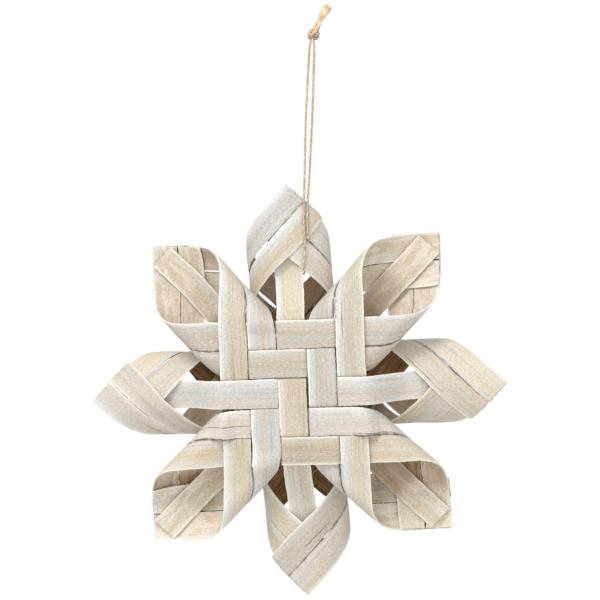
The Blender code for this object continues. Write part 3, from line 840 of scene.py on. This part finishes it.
finish = {
    "rowStep": 1.3,        # of the mesh along a strip, mm
    "weaveRowStep": 0.65,  # and in the weave
    "weaveMargin": 1,      # up to this far past it
    "columns": 13,
    "edgeColumns": (0.455, 0.477, 0.492, 0.5),  # close together at the edges, shares of the width
    "endsFrom": 0.85,      # the ends' colours hold from this share of the length
    "widthFrom": 0.8,      # and their width from this share of that
    "shoulder": 0.14,      # the edges are worn round by this much, mm
    "shoulderReach": 0.7,
    "edgeWander": 0.16,    # a hand-cut edge strays this much, mm
    "drift": 0.14,
    "ragged": 0.22,        # a cut end is this rough
    "raggedReach": 5,      # and the rows give way over this length
    "cup": 0.32,           # the strip is this much hollow across
    "coolAndLitReach": 4.2,      # the wash lies thick, with a painted highlight, this far in from the edge
    "farCoolAndLit": 0.25,       # and this much less on the other edge
    "rubbedAndLitReach": 0.7,      # it is rubbed off, with a painted highlight, this far in
    "worn": 1.3,
    "slitFrom": 4,         # a petal's slit opens from this far inside the weave
    "slitRun": 8,          # over this length
    "seam": 0.8,           # its two strips have painted shade this far in
    "seamDark": 1.5,       # and the painted shade is this dark at the edge
    "openGap": 1,          # unless their gap is wider than this
    "seamShade": (0.9, 0.35),   # mean and variation of that painted shade along a strip
    "leastSeamShade": 0.5,
    "contact": 0.7,        # a strip has painted shadow this far below and to the right of one over it
    "coverRun": 1.2,       # strips stop covering each other in this length round the weave's edge
    "backed": (108, 128),  # from here to there a petal's two pairs lie on each other
    "backedRuns": (3, 2),  # it sets in over this length, on outer faces and on inner ones
    "backedInside": 0.3,   # out to this share of the width from the middle line
    "backedBareAndShade": 0.8,     # an inner face has this much less wash there: bare wood with painted shade
    # the wash on the inner face, which also stands for painted shade deeper in: at the weave, how much
    # more at the ends, and where it grows from
    "washAndLight": {"front": (0.2, 0.8, 0.15), "middle": (0, 1, 0.3), "back": (0, 0.8, 0.5)},
    "washAndLightRun": 0.3,       # as shares of the strip's length
    "wallFrom": 30, "wallRun": 6, "rimShadowRun": 11,  # mm
}
waves = {
    # each random line's number and the lengths of its waves, mm
    "higherEdge": (0, (47, 23, 9, 3.6)), "lowerEdge": (1, (53, 19, 8, 3.1)), "drift": (2, (90, 41)),
    "cutEnd": (3, (9, 4, 1.7)), "seamShade": (4, (15, 6)),
}
slitStations = (52, 72, 92, 108, 120, 134)     # along a strip, mm
slits = {
    # the gap in mm between the two strips of a petal's outer or inner pair, at each station
    "north outer": (2.4, 1.6, 2.8, 1, 0.6, 0.5), "north inner": (0, 0.1, 0.15, 0.15, 0.3, 0.5),
    "east outer": (0.5, 0.4, 0.4, 0.5, 0.6, 0.7), "east inner": (2, 0.6, 0.4, 0.4, 0.5, 0.5),
    "west outer": (0.5, 1.3, 1, 0.4, 0.4, 0.4), "west inner": (0.4, 1.7, 0.9, 0.4, 0.5, 0.5),
    "south outer": (0.6, 0.6, 0.2, 0.8, 0.6, 0.3), "south inner": (0, 0.2, 0.4, 0.4, 0.5, 0.5),
    "north-east inner": (1.2, 1.9, 0.3, 0.3, 0.3, 0.3),
    "north-west outer": (0.3, 0.3, 1.2, 1.2, 0.5, 0.4),
    "others": (0.3, 0.3, 0.3, 0.3, 0.4, 0.4),
}
seams = {"west outer": 0.15, "west inner": 0.9, "east inner": 0.4, "south inner": 0.6}    # how dark their painted seam shade is
lifted = {
    # fibres that have come off the edges, on each strip
    "count": 4, "length": (2.5, 7.5), "radius": 0.16, "thickness": (0.5, 1.1), "taper": 0.75,
    "from": (0.96, 0.9),  # shares of the strip's length, at its low and high end
    "inside": 0.1,        # the root lies this far inside the edge and above the face
    "out": (0.3, 1.4), "outBow": 1.7, "lift": (-0.3, 1.0), "points": 7,
}
crack = {
    "step": 1.5, "width": 0.16, "leastWidth": 0.02, "lift": 0.46,  # mm
    "wander": 0.18, "wanderWaves": (21, 8), "uneven": (0.8, 0.4), "unevenWaves": (13, 5),
}


def wander(seed, place, lengths):
    # a smooth random line of about unit height
    chance = np.random.default_rng(seed)
    total = 0.0
    for length in lengths:
        wave = np.sin(2 * math.pi * place / length + chance.uniform(0, 6.28))
        total = total + wave * chance.uniform(0.5, 1)
    return total / math.sqrt(len(lengths))


def ownWander(strip, kind, place):
    number, lengths = waves[kind]
    return wander(strip["number"] * 7 + number, place, lengths)


def surfaceOf(strip, across, place, lift):
    # the strip's surface, lifted by so many mm towards its outer face
    shape = middlePlace if strip["middle"] else rolledPlace
    probe = 0.05      # mm
    here = shape(strip, across, place)
    along = shape(strip, across, place + probe) - here
    aside = shape(strip, across + probe, place) - here
    up = np.cross(aside, along) if strip["upright"] else np.cross(along, aside)
    up = up / np.maximum(np.linalg.norm(up, axis=-1), 1e-9)[..., None]
    return here + up * np.asarray(lift)[..., None]


def hollowAt(part):
    # it leaves the strip's mean height as it was
    return -finish["cup"] * (4 * part ** 2 - 0.33)


def threeStage(values, place, length):
    # from a strip's low end through its middle to its high end
    return np.interp(place / length, (-finish["endsFrom"], 0, finish["endsFrom"]), values)


def seamAt(strip, place):
    # the gap between this strip and the other of its pair, past the weave, and how dark the painted
    # shade in it is; the second strip of a pair is slid nearer to the edge strip, so the edges give way
    # by as much
    gap, dark = np.zeros_like(place), np.ones_like(place)
    half = halves[strip["half"]]
    closed = smooth((np.abs(place) - pairLine) / root2 / petal["halfGirth"])
    for end, petalHere in strip["ends"].items():
        name = next(word for word, way in half["petals"].items()
                    if petalAt(half, way) == petalHere["corner"])
        seam = f"{name} {'inner' if petalHere['handed'] > 0 else 'outer'}"
        true = np.interp(np.abs(place), slitStations, slits.get(seam, slits["others"]))
        gap = np.where(np.sign(place) == end, true + petalHere["closing"] * closed, gap)
        dark = np.where(np.sign(place) == end, seams.get(seam, 1.0), dark)
    return gap, dark


def paintedShadeAmounts(strip, place, part, inwards, uneven):
    # painted shade on the outer face where another strip covers it, lies on it or meets it as its
    # partner, and painted shade on the cut edges that face a neighbour or turn away from the light
    way = 1 if strip["upright"] else -1
    # the painted shadow reaches a little below and to the right of an upper strip, away from the key
    # light
    shift = finish["contact"] * way if strip["half"] == "front" else 0.0
    beyond = ramp(np.abs(place), weaveEdge - finish["coverRun"] / 2, finish["coverRun"])
    contactShade = smooth(-levelAt(strip, place + shift) / weave["wave"]) * (1 - beyond)
    outerSide, pairSide = part * strip["outer"], part * strip["partner"] > 0
    # painted shade on the cut edges: the right and lower ones in the front half, turned from the light,
    # and all but the outer ones in the back half's weave; past the weave only those by a partner
    edgeShade = np.where(part * way > 0, 1.0, 0.0) if strip["half"] == "front" else np.ones_like(place)
    if strip["middle"]:
        return contactShade, edgeShade * (1 - beyond)
    if not strip["second"]:
        edgeShade = np.where(outerSide > 0, 0.0, edgeShade)
    gap, dark = seamAt(strip, place)
    # painted seam shade along the edge that meets its partner
    bare = np.clip(finish["seamDark"] * (1 - inwards / finish["seam"]), 0, 1)
    bare = np.where(pairSide, bare, 0) * beyond
    bare = bare * (1 - smooth(gap - finish["openGap"])) * uneven * dark
    # painted shade where the other pair lies on this face
    start, stop = finish["backed"]
    run = finish["backedRuns"][0]
    for end, petalHere in strip["ends"].items():
        if petalHere["handed"] > 0:
            backed = ramp(end * place, start, run) * ramp(-end * place, -stop, run)
            bare = np.maximum(bare, np.where(outerSide > finish["backedInside"], 0, backed))
    edgeShade = np.where(beyond > 0.5, np.where(pairSide, uneven * dark, 0.0), edgeShade)
    return np.maximum(contactShade, bare), edgeShade


def washAndLightAmount(strip, place, length):
    # how well the wash covers the inner face; the bare brown left also stands for painted shade deeper
    # in and painted shadow under the mouths' rims
    kind = "middle" if strip["middle"] and strip["half"] == "back" else strip["half"]
    least, more, start = finish["washAndLight"][kind]
    washAndLight = least + more * ramp(np.abs(place) / length, start, finish["washAndLightRun"])
    if strip["wallWashAndLight"]:
        near = ramp(np.abs(place), finish["wallFrom"], finish["wallRun"])
        washAndLight = np.maximum(washAndLight, np.where(place < 0, *strip["wallWashAndLight"]) * near)
    # painted shadow under a mouth's rim
    for start, stop, amount in strip["rimShadow"]:
        inside = ramp(place, start, finish["rimShadowRun"]) * ramp(-place, -stop, finish["rimShadowRun"])
        washAndLight = washAndLight * (1 - amount * inside)
    for end, petalHere in strip["ends"].items():
        if not strip["middle"] and petalHere["handed"] < 0:
            backed = ramp(end * place, finish["backed"][0], finish["backedRuns"][1])
            washAndLight = washAndLight * (1 - finish["backedBareAndShade"] * backed)
    return washAndLight


def stripGrid(low, high):
    # places along a strip, and shares of its width from its middle line
    inner = weaveEdge + finish["weaveMargin"]
    lengthways = np.concatenate([
        np.linspace(-low, -inner, round((low - inner) / finish["rowStep"]), endpoint=False),
        np.linspace(-inner, inner, round(2 * inner / finish["weaveRowStep"]), endpoint=False),
        np.linspace(inner, high, round((high - inner) / finish["rowStep"]) + 1)])
    edge = np.array(finish["edgeColumns"])
    part = np.concatenate([-edge[:0:-1], np.linspace(-edge[0], edge[0], finish["columns"]), edge[1:]])
    return np.meshgrid(lengthways, part, indexing="ij")


def acrossAt(strip, place, part, width):
    # how far each point lies from the weave's middle, with the wander of hand-cut edges
    half = width / 2 + strip["shift"] * np.sign(part)
    if not strip["middle"]:
        facing = weave["pitch"] / 2 - seamAt(strip, place)[0] / 2
        past = ramp(np.abs(place), weaveEdge - finish["slitFrom"], finish["slitRun"])
        half = np.where(part * strip["partner"] > 0, half + (facing - half) * past, half)
    stray = [ownWander(strip, edge, place) for edge in ("higherEdge", "lowerEdge")]
    half = half + finish["edgeWander"] * np.where(part > 0, *stray)
    across = strip["offset"] + 2 * part * half + finish["drift"] * ownWander(strip, "drift", place)
    if strip["notch"]:
        side, start, end, depth = strip["notch"]
        hollow = np.sin(math.pi * np.clip((place - start) / (end - start), 0, 1)) ** 2
        across -= side * depth * hollow * np.clip(0.5 + side * part, 0, 1)
    return across


def buildStrip(strip):
    low, high = strip["ends"][-1]["cut"], strip["ends"][1]["cut"]
    length = max(low, high)
    place, part = stripGrid(low, high)
    ragged = ownWander(strip, "cutEnd", part * weave["width"] + np.sign(place) * 5) * finish["ragged"]
    reach = finish["raggedReach"]
    place = place + ragged * ramp(np.abs(place), min(low, high) - reach, reach)
    width = threeStage(strip["width"], place, length * finish["widthFrom"])
    across = acrossAt(strip, place, part, width)
    inwards = (0.5 - np.abs(part)) * width
    worn = np.clip(1 - inwards / finish["shoulderReach"], 0, 1) ** 2
    points = surfaceOf(strip, across, place, hollowAt(part) - finish["shoulder"] * worn) * mm
    rows, columns = place.shape
    faces = [(at, at + 1, at + columns + 1, at + columns)
             for row in range(rows - 1) for at in range(row * columns, (row + 1) * columns - 1)]
    if not strip["upright"]:
        faces = [face[::-1] for face in faces]
    mesh = bpy.data.meshes.new(strip["name"] + "_veneer")
    mesh.from_pydata(points.reshape(-1, 3).tolist(), [], faces)

    # the cool wash lies along the left or upper edge, towards the key light, and is partly a painted
    # highlight
    litSide = part < 0 if strip["upright"] else part > 0
    coolAndLitShare = threeStage(strip["coolAndLit"], place, length) * np.where(litSide, 1.0, finish["farCoolAndLit"]) \
        * np.exp(-(inwards / finish["coolAndLitReach"]) ** 2)
    mean, vary = finish["seamShade"]
    uneven = np.clip(mean + vary * ownWander(strip, "seamShade", place), finish["leastSeamShade"], 1)
    contactShade, edgeShade = paintedShadeAmounts(strip, place, part, inwards, uneven)
    toned = threeStage(strip["toneAndLight"], place, length)
    # rubbed edges with a painted highlight, on the edges that carry no painted shade
    rubbedAndLit = finish["worn"] * np.exp(-(inwards / finish["rubbedAndLitReach"]) ** 2) * (1 - edgeShade)
    bare = np.clip(threeStage(strip["tan"], place, length) + strip["tanSide"] * 2 * part, 0, 1)
    amounts = {"look": (bare, threeStage(strip["cream"], place, length), coolAndLitShare,
                        washAndLightAmount(strip, place, length)),
               "shadeAndTone": (contactShade, edgeShade, np.clip(-toned, 0, 1), np.clip(toned, 0, 1)),
               "worn": (np.clip(rubbedAndLit, 0, 1), 0 * place, 0 * place, 1 + 0 * place)}
    for key, values in amounts.items():
        attribute = mesh.color_attributes.new(key, "FLOAT_COLOR", "POINT")
        attribute.data.foreach_set("color", np.stack(values, axis=-1).reshape(-1))
    layer = mesh.uv_layers.new(name="grain")
    u = (across - strip["offset"]) * mm + strip["number"] * veneer["seedGap"]
    where = np.stack([u, place * mm], axis=-1)
    layer.data.foreach_set("uv", where.reshape(-1, 2)[np.array(faces)].reshape(-1))
    mesh.shade_smooth()

    piece = addPiece(strip["name"] + "_veneer", mesh, (outerFace, edgeFace, innerFace))
    thickness = piece.modifiers.new("thickness", "SOLIDIFY")
    thickness.thickness = weave["thickness"] * mm
    thickness.offset = 0
    thickness.use_even_offset = True
    thickness.material_offset = 2
    thickness.material_offset_rim = 1
    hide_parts(strip["name"])


def addSlivers(grid, uvs, strip):
    # fibres that have lifted from the strip's edges
    chance = np.random.default_rng(900 + strip["number"])
    low, high = strip["ends"][-1]["cut"], strip["ends"][1]["cut"]
    share = np.linspace(0, 1, lifted["points"])
    for sliver in range(lifted["count"]):
        start = chance.uniform(-low * lifted["from"][0], high * lifted["from"][1])
        side, way = chance.choice((-1, 1)), chance.choice((-1, 1))
        length = chance.uniform(*lifted["length"])
        out = chance.uniform(*lifted["out"]) * share ** lifted["outBow"]
        across = strip["offset"] + side * (strip["width"][0] / 2 - lifted["inside"] + out)
        lift = chance.uniform(*lifted["lift"]) * share ** 2 + lifted["inside"]
        line = surfaceOf(strip, across, np.clip(start + way * length * share, -low, high), lift)
        radii = lifted["radius"] * chance.uniform(*lifted["thickness"]) * (1 - lifted["taper"] * share)
        addTube(grid, uvs, line, radii, 3, strip["number"] * veneer["seedGap"])


def addSplits(grid, strip):
    # splits along the grain, laid as thin dark ribbons just over the face: painted shadow where they
    # have opened
    for middle, start, end in strip["splits"]:
        place = np.linspace(start, end, round((end - start) / crack["step"]) + 1)
        line = middle + crack["wander"] * wander(strip["number"] + 50, place, crack["wanderWaves"])
        mean, vary = crack["uneven"]
        uneven = mean + vary * wander(strip["number"] + 60, place, crack["unevenWaves"])
        share = (place - start) / (end - start)
        wide = crack["width"] * np.sin(math.pi * share) ** 0.6 * uneven + crack["leastWidth"]
        lift = np.full_like(place, crack["lift"] + hollowAt(middle / strip["width"][1]))
        sides = [[grid.verts.new(Vector(point) * mm) for point in
                  surfaceOf(strip, strip["offset"] + line + edge * wide, place, lift)]
                 for edge in (-1, 1)]
        for k in range(len(place) - 1):
            grid.faces.new((sides[0][k], sides[1][k], sides[1][k + 1], sides[0][k + 1]))


slivers, sliverUvs = newGrid()
cracks, _ = newGrid()
stripNumber = 0
for halfName, words in (("front", ("upright", "level")), ("back", ("falling", "rising"))):
    for upright, word in ((True, words[0]), (False, words[1])):
        for index in range(weave["strips"]):
            stripNumber += 1
            number = index + 1 if upright else weave["strips"] - index
            family = f"{halfName}_{word}"
            fromMiddle = index - middleIndex
            outer, second = math.copysign(1, fromMiddle), abs(fromMiddle) == 1
            strip = {
                **plainStrip, "width": halves[halfName]["width"], **strips[family][number - 1],
                "name": f"{family}_strip_{number}", "number": stripNumber, "half": halfName,
                "upright": upright, "index": index, "offset": fromMiddle * weave["pitch"],
                "middle": fromMiddle == 0, "second": second,     # next to the edge strip
                "outer": outer, "partner": outer if second else -outer,     # which side they are on
            }
            strip["ends"] = {end: petalEnd(strip, end) for end in (-1, 1)}
            buildStrip(strip)
            addSlivers(slivers, sliverUvs, strip)
            addSplits(cracks, strip)
    print(f"{halfName} half done")
finishMesh("lifted_fibres", slivers, [edgeFace])
finishMesh("grain_splits", cracks, [splitFace])
print("fibres and splits done")


floorLook = {"reach": 1.2, "height": -0.7, "paint": "#f4f4f2"}      # metres
floorMesh = bpy.data.meshes.new("floor")
corners = [(x * floorLook["reach"], y * floorLook["reach"], floorLook["height"])
           for x, y in ((-1, -1), (1, -1), (1, 1), (-1, 1))]
floorMesh.from_pydata(corners, [], [(0, 1, 2, 3)])
floor = bpy.data.objects.new("floor", floorMesh)
floorPaint, _, floorShader = newMaterial("matt white floor", 0.9)
floorShader.inputs["Base Color"].default_value = linear(floorLook["paint"])
floorMesh.materials.append(floorPaint)
bpy.context.scene.collection.objects.link(floor)
